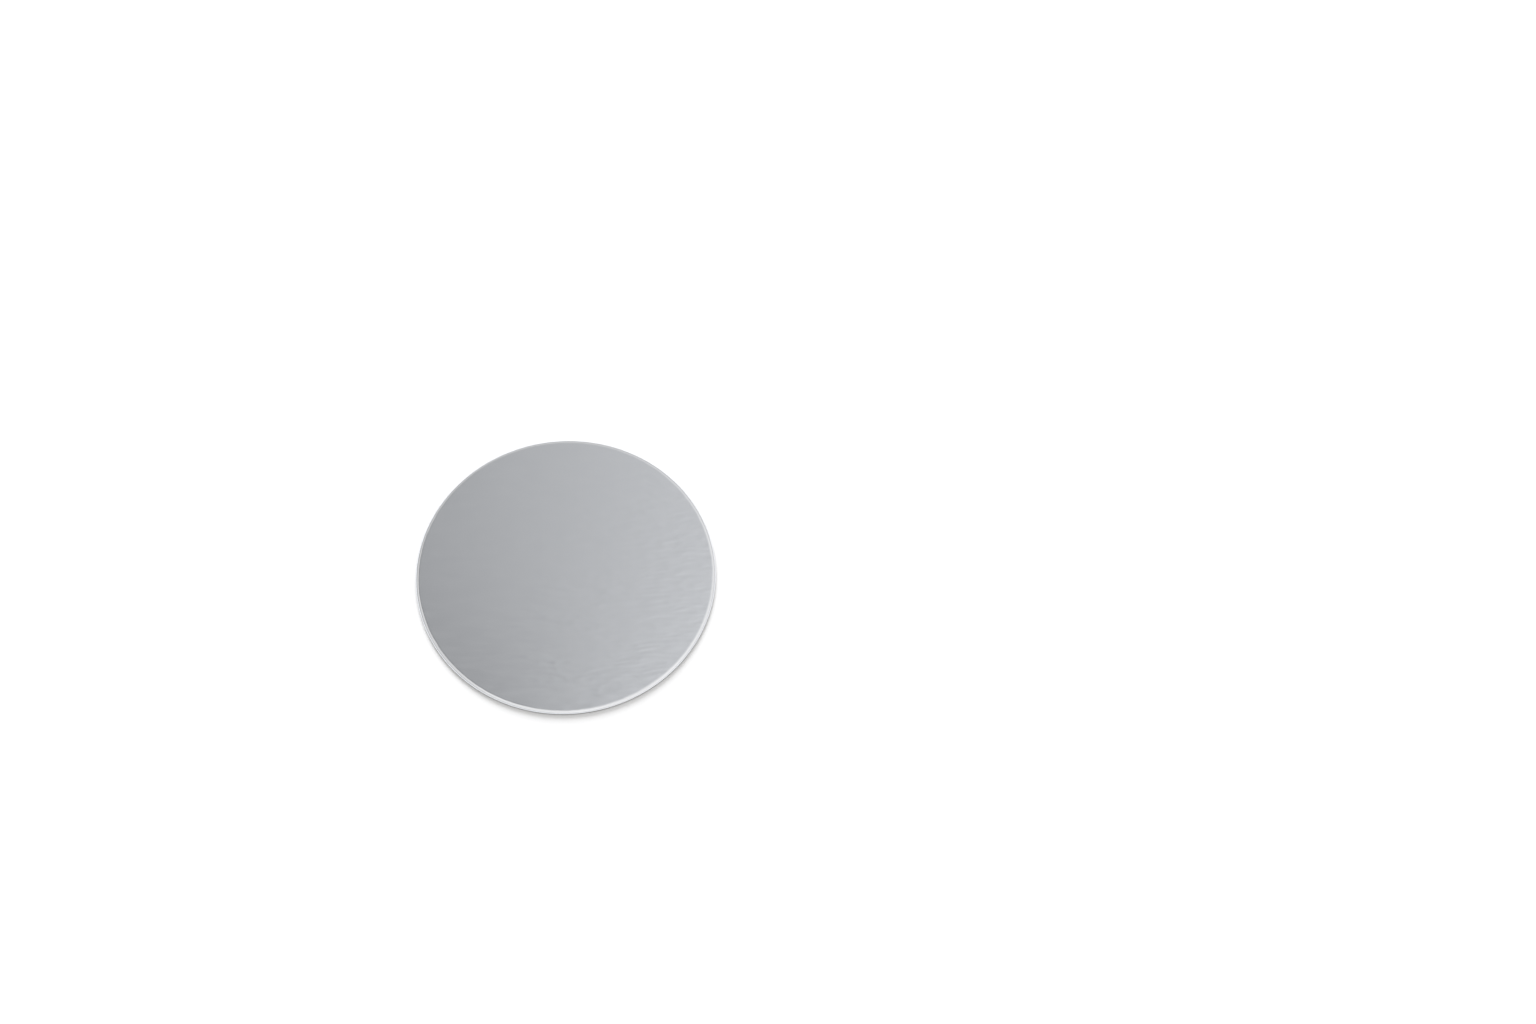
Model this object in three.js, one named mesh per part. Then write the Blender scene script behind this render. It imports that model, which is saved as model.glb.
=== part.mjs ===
// A round cake board: one disc of thick grey card with a foil face, cut out in a single press.
// Millimetres, +Z up. The origin is the centre of the underside, and the foil face looks up.
import * as THREE from "three";

// Driving dimensions
const DIAMETER = 200;
const THICKNESS = 3;

// The edge as the cutting rule leaves it, from the foil face down to the underside
const SHOULDER_WIDTH = 2;
const SHOULDER_DROP = 1.5;
const WALL_LEAN = 0.08;
const BACK_EDGE_RADIUS = 0.3;

// How finely the curves are drawn
const ROUND_STEPS = 144;
const SHOULDER_STEPS = 8;
const BACK_EDGE_STEPS = 4;

// Finish
const FOIL_COLOUR = 0xb8babd;
const FOIL_ROUGHNESS = 0.3;

// Points on a quarter of an ellipse, from angle 0 (its outer side) to a right angle (its top or foot).
function quarterArc(centreR, centreZ, radiusR, radiusZ, steps) {
  const points = [];
  for (let i = 0; i <= steps; i++) {
    const angle = (Math.PI / 2) * (i / steps);
    const r = centreR + radiusR * Math.cos(angle);
    const z = centreZ + radiusZ * Math.sin(angle);
    points.push(new THREE.Vector2(r, z));
  }
  return points;
}

// The small round where the cut meets the backing, listed from the underside outwards.
function backEdge(wallFootR) {
  const centreR = wallFootR - BACK_EDGE_RADIUS;
  return quarterArc(centreR, BACK_EDGE_RADIUS, BACK_EDGE_RADIUS, -BACK_EDGE_RADIUS, BACK_EDGE_STEPS).reverse();
}

// The shoulder that the press rolls into the foil face, listed upwards from the top of the cut.
function foilShoulder(rimR) {
  const centreR = rimR - SHOULDER_WIDTH;
  return quarterArc(centreR, THICKNESS - SHOULDER_DROP, SHOULDER_WIDTH, SHOULDER_DROP, SHOULDER_STEPS);
}

// Half of the board's section, from the centre of the underside round to the centre of the foil face.
function boardSection() {
  const rimR = DIAMETER / 2;
  const wallFootR = rimR - WALL_LEAN;
  return [
    new THREE.Vector2(0, 0),
    ...backEdge(wallFootR),
    ...foilShoulder(rimR),
    new THREE.Vector2(0, THICKNESS),
  ];
}

// The turned disc. Lathe geometry turns about Y, so it is stood up to turn about Z.
function boardGeometry() {
  const disc = new THREE.LatheGeometry(boardSection(), ROUND_STEPS);
  disc.rotateX(Math.PI / 2);
  return disc;
}

function board() {
  const material = new THREE.MeshStandardMaterial({
    color: FOIL_COLOUR,
    metalness: 1,
    roughness: FOIL_ROUGHNESS,
  });
  const mesh = new THREE.Mesh(boardGeometry(), material);
  mesh.name = "board";
  return mesh;
}

const cakeBoard = new THREE.Group();
cakeBoard.name = "cake_board";
cakeBoard.add(board());

export default cakeBoard;
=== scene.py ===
import math

import bpy
import numpy as np
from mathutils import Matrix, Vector, noise


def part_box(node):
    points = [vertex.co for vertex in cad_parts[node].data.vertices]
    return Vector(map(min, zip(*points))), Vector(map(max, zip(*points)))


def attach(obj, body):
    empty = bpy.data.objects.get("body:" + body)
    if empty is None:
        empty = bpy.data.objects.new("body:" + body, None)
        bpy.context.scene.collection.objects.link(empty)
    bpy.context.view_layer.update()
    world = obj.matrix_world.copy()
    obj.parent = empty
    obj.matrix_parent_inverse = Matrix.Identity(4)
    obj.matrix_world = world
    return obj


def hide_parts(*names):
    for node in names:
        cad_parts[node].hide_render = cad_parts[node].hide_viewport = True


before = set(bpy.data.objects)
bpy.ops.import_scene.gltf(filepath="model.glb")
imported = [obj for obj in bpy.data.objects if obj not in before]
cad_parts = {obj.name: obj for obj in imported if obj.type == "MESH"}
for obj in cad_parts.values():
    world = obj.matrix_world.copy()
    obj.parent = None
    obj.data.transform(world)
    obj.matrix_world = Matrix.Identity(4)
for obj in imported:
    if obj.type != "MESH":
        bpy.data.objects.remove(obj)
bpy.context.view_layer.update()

# The board's sizes, in metres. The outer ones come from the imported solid.
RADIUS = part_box("board")[1].x
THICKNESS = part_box("board")[1].z
SHOULDER_WIDTH = 0.002
SHOULDER_DROP = 0.0015
WALL_LEAN = 0.00008
BACK_EDGE_RADIUS = 0.0003

# The foil's ripples: short low crests that run across the board. The sizes are those of one ripple, and the
# bend is how far its line strays.
RIPPLE_HEIGHT = 0.000036
RIPPLE_ACROSS = 0.0023
RIPPLE_ALONG = 0.013
RIPPLE_BEND = 0.0012
# The creases among them: their sizes as shares of a ripple's, and their height against the crests'
CREASE_ACROSS = 1 / 0.8
CREASE_ALONG = 1 / 1.2
CREASE_SHARE = 0.6
# The mean depth of the rippled foil and its swing either way, as shares of the ripples' height
RIPPLE_MEAN = 0.5
RIPPLE_SWING = 0.9
# Where the ripples are: calm at the back left, and growing to the right and the front in loose patches
RIPPLE_CALM = 0.06
RIPPLE_MIDDLE = 0.2
RIPPLE_GROWTH = 1.1
RIPPLE_TO_RIGHT = 0.9
RIPPLE_TO_FRONT = 0.35
RIPPLE_PATCH = (0.03, 0.02)
RIPPLE_PATCHINESS = 0.5

# How far the cut wanders from a true circle, how the shoulder and the foil's edge vary, and how deep the
# fibres of the bare card are, each with its number of waves round the rim. The layers are how much the
# fibres' noise changes down the cut.
CUT_WANDER = 0.00008
CUT_WAVES = 90
SHOULDER_WANDER = 0.10
SHOULDER_WAVES = 160
FOIL_EDGE_WANDER = 0.00012
FOIL_EDGE_WAVES = 320
FIBRE_DEPTH = 0.00005
FIBRE_WAVES = 520
FIBRE_LAYERS = 6

# Each use of the noise takes a slice of its own
BEND_SLICE, CREST_SLICE, CREASE_SLICE, PATCH_SLICE = 3.1, 7.7, 1.3, 5.9
CUT_SLICE, SHOULDER_SLICE, FOIL_EDGE_SLICE, FIBRE_SLICE = 2.5, 5.5, 9.5, 20

# How finely the surface is drawn
RIM_SEGMENTS = 1536
FACE_SEGMENTS = 768
LEAST_SEGMENTS = 12
FACE_STEP = 0.00075
SHOULDER_STEPS = 8
WALL_STEPS = 4
BACK_EDGE_STEPS = 2
# Each ring of the underside has this share of the last one's radius, and half its segments
BACK_RING_RATIO = 0.62

# The surfaces' colours, as linear red, green and blue
FOIL_DARK, FOIL_PALE = (0.864, 0.887, 0.928), (0.871, 0.892, 0.933)
CARD_DARK, CARD_PALE = (0.32, 0.32, 0.315), (0.47, 0.47, 0.46)
PAPER_DARK, PAPER_PALE = (0.68, 0.672, 0.65), (0.80, 0.793, 0.775)
STRAY_FIBRE = (0.50, 0.49, 0.47)
FLOOR_COLOUR = (0.852, 0.86, 0.878)
WHITE = (1.0, 1.0, 1.0)

# The surfaces' roughness, where the pattern is lowest and where it is highest
FOIL_ROUGHNESS = (0.10, 0.13)
CARD_ROUGHNESS = (0.98, 0.85)
PAPER_ROUGHNESS = (0.95, 0.82)

# The surfaces' patterns, as changes to a metre along X, Y and Z, and the depths of the raised ones in metres
FOIL_STREAKS = (260.0, 6.0, 260.0)
FOIL_HAZE = (60.0, 240.0, 240.0)
FOIL_GRAIN, FOIL_GRAIN_DEPTH = (900.0, 1500.0, 1500.0), 0.0000012
CARD_LAYERS = (350.0, 350.0, 5200.0)
CARD_FIBRES, CARD_FIBRES_DEPTH = (1400.0, 1400.0, 9000.0), 0.00003
PAPER_CLOUDS = (180.0, 260.0, 180.0)
PAPER_STRANDS = (420.0, 1900.0, 420.0)
PAPER_FIBRES, PAPER_FIBRES_DEPTH = (900.0, 2200.0, 900.0), 0.000012
# The stretch of a pattern's values that is in use, and the peaks that stand for stray fibres
PATTERN_RANGE = (0.3, 0.7)
STRAY_RANGE = (0.64, 0.72)

# The camera: its lens, its height above the floor as an angle, and the floor point that it looks at
CAMERA_LENS = 90.64
CAMERA_SENSOR = 36.0
CAMERA_ELEVATION = math.radians(64.7)
CAMERA_DISTANCE = 2.600
CAMERA_TARGET = Vector((0.1348, 0.0474, 0.0))
CAMERA_CLIP = (0.05, 100.0)

# The floor reaches this far each way, a hair below the board so that the two don't share a plane
FLOOR_REACH = 30.0
FLOOR_BELOW = 0.00002

# The room's level, where 1 is white, how much it grows to the right, to the back and upwards, and its tint
ROOM_LEVEL = 0.81
ROOM_SLOPE = (0.18, -0.19, 0.06)
ROOM_COLOUR = (1.015, 1.0, 0.972)
# The share of that level at the horizon, and the height, as a sine, where the full level is reached
HORIZON_SHARE = 0.42
FULL_HEIGHT = 0.82
# How uneven the room is: the change in level either way, and how many pale or dim places lie in a radian
ROOM_UNEVEN = 0.10
ROOM_PLACES = 4.5
# The grey patch of ceiling: its middle, and the angles from there at which it starts and stops fading. Its
# level grows to the right from the one at the pivot, and by a power faster nearer the camera, between the
# darkest and the palest level. Directions in the patch are told by their slopes, which are X and Y over Z,
# and Z counts as no less than the least height.
PATCH_DIRECTION = (-0.07, 0.45, 1.0)
PATCH_FADE = (math.radians(4.8), math.radians(8.5))
PATCH_PIVOT = (-0.048, 0.46)
PATCH_LEVEL = 0.52
PATCH_SLOPE = 2.38
PATCH_FAN = 26.5
PATCH_FAN_POWER = 2.0
PATCH_DARKEST = 0.26
PATCH_PALEST = 0.72
LEAST_HEIGHT = 0.05
# The white backdrop beyond the floor, up to where it has faded into the room, as sines of the height
BACKDROP_FADE = (math.sin(math.radians(8)), math.sin(math.radians(12)))

# The key lamp: its side and height as seen from the board, its apparent width, and its strength
KEY_AZIMUTH = math.radians(99)
KEY_ELEVATION = math.radians(25)
KEY_WIDTH = math.radians(44)
KEY_STRENGTH = 3.73

FOIL, CARD, BACKING = range(3)


# Node helpers


def new_material(name):
    material = bpy.data.materials.new(name)
    material.use_nodes = True
    shader = material.node_tree.nodes["Principled BSDF"]
    return material, material.node_tree, shader


def add_node(tree, kind, **settings):
    """A new node, with each setting put on the socket of that name or on the node itself."""
    node = tree.nodes.new(kind)
    for name, value in settings.items():
        if name in node.inputs:
            node.inputs[name].default_value = value
        else:
            setattr(node, name, value)
    return node


def stretched_noise(tree, pattern, detail=2.0, rough=0.5):
    """Noise over the object's own coordinates, with the pattern's changes to a metre along each axis."""
    place = add_node(tree, "ShaderNodeTexCoord")
    stretch = add_node(tree, "ShaderNodeMapping", Scale=pattern)
    made = add_node(tree, "ShaderNodeTexNoise", Scale=1.0, Detail=detail, Roughness=rough)
    tree.links.new(place.outputs["Object"], stretch.inputs["Vector"])
    tree.links.new(stretch.outputs["Vector"], made.inputs["Vector"])
    return made.outputs["Fac"]


def mapped(tree, value, ends=(0.0, 1.0), within=PATTERN_RANGE, kind="LINEAR"):
    """Carries the part of a value that lies within a range onto the range between the ends."""
    spread = add_node(tree, "ShaderNodeMapRange", interpolation_type=kind)
    spread.inputs["From Min"].default_value = within[0]
    spread.inputs["From Max"].default_value = within[1]
    spread.inputs["To Min"].default_value = ends[0]
    spread.inputs["To Max"].default_value = ends[1]
    tree.links.new(value, spread.inputs["Value"])
    return spread.outputs["Result"]


def blended(tree, value, first, second):
    """Mixes two colours by a value from 0 to 1. The first may be another node's colour."""
    mix = add_node(tree, "ShaderNodeMix", data_type="RGBA")
    colours = [s for s in mix.inputs if s.type == "RGBA"]
    if isinstance(first, tuple):
        colours[0].default_value = (*first, 1.0)
    else:
        tree.links.new(first, colours[0])
    colours[1].default_value = (*second, 1.0)
    tree.links.new(value, mix.inputs["Factor"])
    return [s for s in mix.outputs if s.type == "RGBA"][0]


def bumped(tree, shader, height, depth):
    bump = add_node(tree, "ShaderNodeBump", Strength=1.0, Distance=depth)
    tree.links.new(height, bump.inputs["Height"])
    tree.links.new(bump.outputs["Normal"], shader.inputs["Normal"])


def calculated(tree, operation, a, b):
    """The result of a math operation on two values, each a number or another node's value."""
    node = add_node(tree, "ShaderNodeMath", operation=operation)
    for socket, value in zip(node.inputs, (a, b)):
        if isinstance(value, (int, float)):
            socket.default_value = value
        else:
            tree.links.new(value, socket)
    return node.outputs[0]


def dot(tree, view, direction):
    """How far the view's direction goes along another."""
    node = add_node(tree, "ShaderNodeVectorMath", operation="DOT_PRODUCT")
    tree.links.new(view, node.inputs[0])
    node.inputs[1].default_value = direction
    return node.outputs["Value"]


def mixed(tree, low, high, share):
    """Mixes two values by a share from 0 to 1."""
    rest = calculated(tree, "SUBTRACT", 1.0, share)
    part = calculated(tree, "MULTIPLY", low, rest)
    return calculated(tree, "ADD", part, calculated(tree, "MULTIPLY", high, share))


# The three surfaces


def foil_material():
    """Bright silver foil: a soft mirror with faint streaks along its web, and fine card grain below it."""
    material, tree, shader = new_material("silver_foil")
    streaks = mapped(tree, stretched_noise(tree, FOIL_STREAKS))
    tree.links.new(blended(tree, streaks, FOIL_DARK, FOIL_PALE), shader.inputs["Base Color"])
    shader.inputs["Metallic"].default_value = 1.0
    haze = stretched_noise(tree, FOIL_HAZE, detail=3.0)
    tree.links.new(mapped(tree, haze, FOIL_ROUGHNESS), shader.inputs["Roughness"])
    bumped(tree, shader, stretched_noise(tree, FOIL_GRAIN), FOIL_GRAIN_DEPTH)
    return material


def card_material():
    """The bare cut edge: pressed grey fibres in thin layers."""
    material, tree, shader = new_material("cut_card")
    layers = stretched_noise(tree, CARD_LAYERS, detail=4.0, rough=0.65)
    colour = blended(tree, mapped(tree, layers), CARD_DARK, CARD_PALE)
    tree.links.new(colour, shader.inputs["Base Color"])
    tree.links.new(mapped(tree, layers, CARD_ROUGHNESS), shader.inputs["Roughness"])
    bumped(tree, shader, stretched_noise(tree, CARD_FIBRES, detail=3.0, rough=0.6), CARD_FIBRES_DEPTH)
    return material


def backing_material():
    """The underside: pale uncoated paper, cloudy where the fibres lie thick, with a few darker ones."""
    material, tree, shader = new_material("backing_paper")
    clouds = stretched_noise(tree, PAPER_CLOUDS, detail=5.0, rough=0.65)
    paper = blended(tree, mapped(tree, clouds), PAPER_DARK, PAPER_PALE)
    strands = stretched_noise(tree, PAPER_STRANDS, detail=3.0, rough=0.6)
    colour = blended(tree, mapped(tree, strands, within=STRAY_RANGE), paper, STRAY_FIBRE)
    tree.links.new(colour, shader.inputs["Base Color"])
    tree.links.new(mapped(tree, clouds, PAPER_ROUGHNESS), shader.inputs["Roughness"])
    bumped(tree, shader, stretched_noise(tree, PAPER_FIBRES, detail=4.0, rough=0.6), PAPER_FIBRES_DEPTH)
    return material


# The board's surface


def wave(x, y, piece):
    """Smooth noise over the face, from -1 to 1, in one slice."""
    return noise.noise(Vector((x, y, piece)))


def around(angle, waves, piece):
    """Smooth noise round the rim, from -1 to 1. It closes on itself and has about that many waves."""
    reach = waves / (2 * math.pi)
    return noise.noise(Vector((reach * math.cos(angle), reach * math.sin(angle), piece)))


def ripple_strength(x, y):
    """How strong the ripples are at a point of the face, from calm to 1."""
    patches = wave(x / RIPPLE_PATCH[0], y / RIPPLE_PATCH[1], PATCH_SLICE)
    towards = (RIPPLE_TO_RIGHT * x - RIPPLE_TO_FRONT * y) / RADIUS + RIPPLE_PATCHINESS * patches
    return RIPPLE_CALM + (1 - RIPPLE_CALM) * min(1.0, max(0.0, RIPPLE_MIDDLE + RIPPLE_GROWTH * towards))


def ripple(x, y):
    """The foil's height at a point of the face, from 0 at the top of a crest to -1 in the deepest hollow."""
    along = x / RIPPLE_ALONG
    across = (y + RIPPLE_BEND * wave(along, y / RIPPLE_ALONG, BEND_SLICE)) / RIPPLE_ACROSS
    crests = wave(along, across, CREST_SLICE)
    # The creases are sharp ridges, where this noise passes through zero
    creases = 0.5 - 2 * abs(wave(along / CREASE_ALONG, across / CREASE_ACROSS, CREASE_SLICE))
    height = (crests + CREASE_SHARE * creases) / (1 + CREASE_SHARE)
    return min(0.0, max(-1.0, RIPPLE_SWING * ripple_strength(x, y) * height - RIPPLE_MEAN))


def rim_at(angle):
    """The cut's radius, which wanders inward from the true circle."""
    return RADIUS - CUT_WANDER * (0.5 + 0.5 * around(angle, CUT_WAVES, CUT_SLICE))


def shoulder_at(angle):
    """The shoulder's width."""
    return SHOULDER_WIDTH * (1 + SHOULDER_WANDER * around(angle, SHOULDER_WAVES, SHOULDER_SLICE))


def foil_drop_at(angle):
    """How far below the face the foil ends."""
    return SHOULDER_DROP + FOIL_EDGE_WANDER * around(angle, FOIL_EDGE_WAVES, FOIL_EDGE_SLICE)


def on_ring(angle, radius, z):
    return radius * math.cos(angle), radius * math.sin(angle), z


def face_point(angle, radius):
    """A point on the flat face, drawn in or out with the shoulder's inner border."""
    radius = radius * (rim_at(angle) - shoulder_at(angle)) / (RADIUS - SHOULDER_WIDTH)
    x, y, z = on_ring(angle, radius, THICKNESS)
    return x, y, z + RIPPLE_HEIGHT * ripple(x, y)


def shoulder_point(angle, turn):
    """A point on the shoulder. turn is how far the foil has rolled, from 0 on the face to 1 at the cut."""
    roll = turn * math.pi / 2
    radius = rim_at(angle) - shoulder_at(angle) * (1 - math.sin(roll))
    x, y, z = on_ring(angle, radius, THICKNESS - foil_drop_at(angle) * (1 - math.cos(roll)))
    return x, y, z + RIPPLE_HEIGHT * max(0.0, math.cos(roll)) * ripple(x, y)


def wall_point(angle, share):
    """A point on the cut, with share from 0 at the foil's edge to 1 at the underside's round."""
    top = THICKNESS - foil_drop_at(angle)
    grain = 0.5 + 0.5 * around(angle, FIBRE_WAVES, FIBRE_SLICE + FIBRE_LAYERS * share)
    radius = rim_at(angle) - WALL_LEAN * share - FIBRE_DEPTH * grain * math.sin(math.pi * share)
    return on_ring(angle, radius, top + (BACK_EDGE_RADIUS - top) * share)


def back_edge_point(angle, turn):
    """A point on the small round between the cut and the underside."""
    roll = turn * math.pi / 2
    radius = rim_at(angle) - WALL_LEAN - BACK_EDGE_RADIUS * (1 - math.cos(roll))
    return on_ring(angle, radius, BACK_EDGE_RADIUS * (1 - math.sin(roll)))


def backing_point(angle, radius):
    """A point on the underside."""
    return on_ring(angle, radius, 0.0)


def segments_at(radius):
    """Fewer segments near the middle of the face, halved each time the ring is half as wide."""
    count = FACE_SEGMENTS
    while count > LEAST_SEGMENTS and radius * 2 <= RADIUS * count / FACE_SEGMENTS:
        count //= 2
    return count


def ring(count, place, where):
    """Points round the board, each at its angle and at one place along the section."""
    return [place(2 * math.pi * i / count, where) for i in range(count)]


def board_rings():
    """The board's surface as rings of points, from the centre of the face over the rim to the centre of the
    underside, each with the material of the band that leads to it."""
    rings = []
    face_radius = RADIUS - SHOULDER_WIDTH
    steps = round(face_radius / FACE_STEP)
    for i in range(1, steps + 1):
        radius = face_radius * i / steps
        count = RIM_SEGMENTS if i == steps else segments_at(radius)
        rings.append((ring(count, face_point, radius), FOIL))
    for i in range(1, SHOULDER_STEPS + 1):
        rings.append((ring(RIM_SEGMENTS, shoulder_point, i / SHOULDER_STEPS), FOIL))
    for i in range(1, WALL_STEPS + 1):
        rings.append((ring(RIM_SEGMENTS, wall_point, i / WALL_STEPS), CARD))
    for i in range(1, BACK_EDGE_STEPS + 1):
        rings.append((ring(RIM_SEGMENTS, back_edge_point, i / BACK_EDGE_STEPS), CARD))
    # The underside's first ring lies a little inside the round, wherever the cut wanders
    radius = RADIUS - CUT_WANDER - WALL_LEAN - 2 * BACK_EDGE_RADIUS
    count = RIM_SEGMENTS // 2
    while count >= LEAST_SEGMENTS:
        rings.append((ring(count, backing_point, radius), BACKING))
        radius *= BACK_RING_RATIO
        count //= 2
    return rings


def band(first, count_a, second, count_b):
    """The faces between two rings whose counts are equal or differ by two times."""
    faces = []
    if count_a == count_b:
        for i in range(count_a):
            j = (i + 1) % count_a
            faces.append((first + i, second + i, second + j, first + j))
    elif count_b == 2 * count_a:
        for i in range(count_a):
            j = (i + 1) % count_a
            b0, b1, b2 = 2 * i, 2 * i + 1, (2 * i + 2) % count_b
            faces.append((first + i, second + b0, second + b1))
            faces.append((first + i, second + b1, first + j))
            faces.append((first + j, second + b1, second + b2))
    else:
        for i in range(count_b):
            j = (i + 1) % count_b
            a0, a1, a2 = 2 * i, 2 * i + 1, (2 * i + 2) % count_a
            faces.append((second + i, first + a1, first + a0))
            faces.append((second + i, second + j, first + a1))
            faces.append((second + j, first + a2, first + a1))
    return faces


def board_mesh():
    """The rings joined into one closed mesh, with a fan of triangles at the middle of each side."""
    rings = board_rings()
    points = [face_point(0.0, 0.0)]
    faces, slots = [], []
    start, count = 1, len(rings[0][0])
    points += rings[0][0]
    for i in range(count):
        faces.append((0, start + i, start + (i + 1) % count))
        slots.append(FOIL)
    for ring_points, slot in rings[1:]:
        made = band(start, count, len(points), len(ring_points))
        faces += made
        slots += [slot] * len(made)
        start, count = len(points), len(ring_points)
        points += ring_points
    centre = len(points)
    points.append((0.0, 0.0, 0.0))
    for i in range(count):
        faces.append((centre, start + (i + 1) % count, start + i))
        slots.append(BACKING)
    mesh = bpy.data.meshes.new("cake_board")
    mesh.from_pydata(points, [], faces)
    mesh.polygons.foreach_set("material_index", np.array(slots, dtype=np.int32))
    mesh.polygons.foreach_set("use_smooth", np.ones(len(slots), dtype=bool))
    mesh.update()
    return mesh


def build_board():
    mesh = board_mesh()
    for material in (foil_material(), card_material(), backing_material()):
        mesh.materials.append(material)
    piece = bpy.data.objects.new("cake_board", mesh)
    bpy.context.scene.collection.objects.link(piece)
    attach(piece, "root")
    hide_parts("board")


# The studio


def make_camera():
    data = bpy.data.cameras.new("camera")
    data.sensor_width = CAMERA_SENSOR
    data.lens = CAMERA_LENS
    data.clip_start, data.clip_end = CAMERA_CLIP
    camera = bpy.data.objects.new("camera", data)
    back = Vector((0.0, -math.cos(CAMERA_ELEVATION), math.sin(CAMERA_ELEVATION)))
    camera.location = CAMERA_TARGET + back * CAMERA_DISTANCE
    camera.rotation_euler = (-back).to_track_quat("-Z", "Y").to_euler()
    bpy.context.scene.collection.objects.link(camera)
    bpy.context.scene.camera = camera


def make_floor():
    """The white floor, which keeps the board's shadow."""
    mesh = bpy.data.meshes.new("floor")
    corners = [(x * FLOOR_REACH, y * FLOOR_REACH, 0.0) for x, y in ((-1, -1), (1, -1), (1, 1), (-1, 1))]
    mesh.from_pydata(corners, [], [(0, 1, 2, 3)])
    floor = bpy.data.objects.new("floor", mesh)
    floor.location.z = -FLOOR_BELOW
    material = bpy.data.materials.new("white_floor")
    material.use_nodes = True
    tree = material.node_tree
    tree.nodes.clear()
    paint = add_node(tree, "ShaderNodeBsdfDiffuse", Color=(*FLOOR_COLOUR, 1.0))
    end = add_node(tree, "ShaderNodeOutputMaterial")
    tree.links.new(paint.outputs["BSDF"], end.inputs["Surface"])
    mesh.materials.append(material)
    bpy.context.scene.collection.objects.link(floor)


def room_level(tree, view, dz):
    """The room's level: dimmer towards the horizon and the back left, and a little uneven."""
    level = calculated(tree, "ADD", dot(tree, view, ROOM_SLOPE), ROOM_LEVEL)
    height_share = mapped(tree, dz, (HORIZON_SHARE, 1.0), (0.0, FULL_HEIGHT), "SMOOTHSTEP")
    level = calculated(tree, "MULTIPLY", level, height_share)
    places = add_node(tree, "ShaderNodeTexNoise", Scale=ROOM_PLACES, Detail=1.0)
    tree.links.new(view, places.inputs["Vector"])
    uneven = mapped(tree, places.outputs["Fac"], (1 - ROOM_UNEVEN, 1 + ROOM_UNEVEN))
    return calculated(tree, "MULTIPLY", level, uneven)


def patch_level(tree, dx, dy, dz):
    """The grey patch's level, growing from the pivot to the right, and faster nearer the camera."""
    height = calculated(tree, "MAXIMUM", dz, LEAST_HEIGHT)
    right = calculated(tree, "SUBTRACT", calculated(tree, "DIVIDE", dx, height), PATCH_PIVOT[0])
    near = calculated(tree, "SUBTRACT", PATCH_PIVOT[1], calculated(tree, "DIVIDE", dy, height))
    fan = calculated(tree, "MULTIPLY", calculated(tree, "MAXIMUM", near, 0.0), PATCH_FAN)
    fan = calculated(tree, "POWER", fan, PATCH_FAN_POWER)
    growth = calculated(tree, "MULTIPLY", right, PATCH_SLOPE)
    growth = calculated(tree, "MULTIPLY", growth, calculated(tree, "ADD", fan, 1.0))
    level = calculated(tree, "ADD", growth, PATCH_LEVEL)
    level = calculated(tree, "MAXIMUM", level, PATCH_DARKEST)
    return calculated(tree, "MINIMUM", level, PATCH_PALEST)


def white_share(tree, dz):
    """Where the world is plain white: all over for the camera, and up to the backdrop's top in mirrors and
    glass. It adds no light to matt surfaces."""
    path = add_node(tree, "ShaderNodeLightPath").outputs
    mirrored = calculated(tree, "MAXIMUM", path["Is Glossy Ray"], path["Is Transmission Ray"])
    backdrop = mapped(tree, dz, (1.0, 0.0), BACKDROP_FADE, "SMOOTHSTEP")
    mirrored = calculated(tree, "MULTIPLY", mirrored, backdrop)
    return calculated(tree, "MAXIMUM", path["Is Camera Ray"], mirrored)


def make_world():
    """A bright studio with a white backdrop and one grey patch of ceiling, which the flat foil mirrors."""
    world = bpy.data.worlds.new("studio")
    world.use_nodes = True
    tree = world.node_tree
    ground = tree.nodes["Background"]
    view = add_node(tree, "ShaderNodeTexCoord").outputs["Generated"]
    parts = add_node(tree, "ShaderNodeSeparateXYZ")
    tree.links.new(view, parts.inputs["Vector"])
    dx, dy, dz = parts.outputs
    aim = Vector(PATCH_DIRECTION).normalized()
    border, core = math.cos(PATCH_FADE[1]), math.cos(PATCH_FADE[0])
    inside = mapped(tree, dot(tree, view, aim), (0.0, 1.0), (border, core), "SMOOTHSTEP")
    level = mixed(tree, room_level(tree, view, dz), patch_level(tree, dx, dy, dz), inside)
    white = white_share(tree, dz)
    neutral = calculated(tree, "MAXIMUM", inside, white)
    tree.links.new(mixed(tree, level, 1.0, white), ground.inputs["Strength"])
    tree.links.new(blended(tree, neutral, ROOM_COLOUR, WHITE), ground.inputs["Color"])
    bpy.context.scene.world = world


def make_key():
    """A wide soft key behind the board, a little to the left, so that the shadow falls to the front."""
    data = bpy.data.lights.new("key", "SUN")
    data.angle = KEY_WIDTH
    data.energy = KEY_STRENGTH
    key = bpy.data.objects.new("key", data)
    flat = math.cos(KEY_ELEVATION)
    direction = Vector((
        flat * math.cos(KEY_AZIMUTH),
        flat * math.sin(KEY_AZIMUTH),
        math.sin(KEY_ELEVATION),
    ))
    key.location = direction
    key.rotation_euler = (-direction).to_track_quat("-Z", "Y").to_euler()
    key.visible_glossy = False
    bpy.context.scene.collection.objects.link(key)


make_camera()
make_world()
make_key()
make_floor()
build_board()

bpy.context.scene.view_settings.view_transform = "Standard"
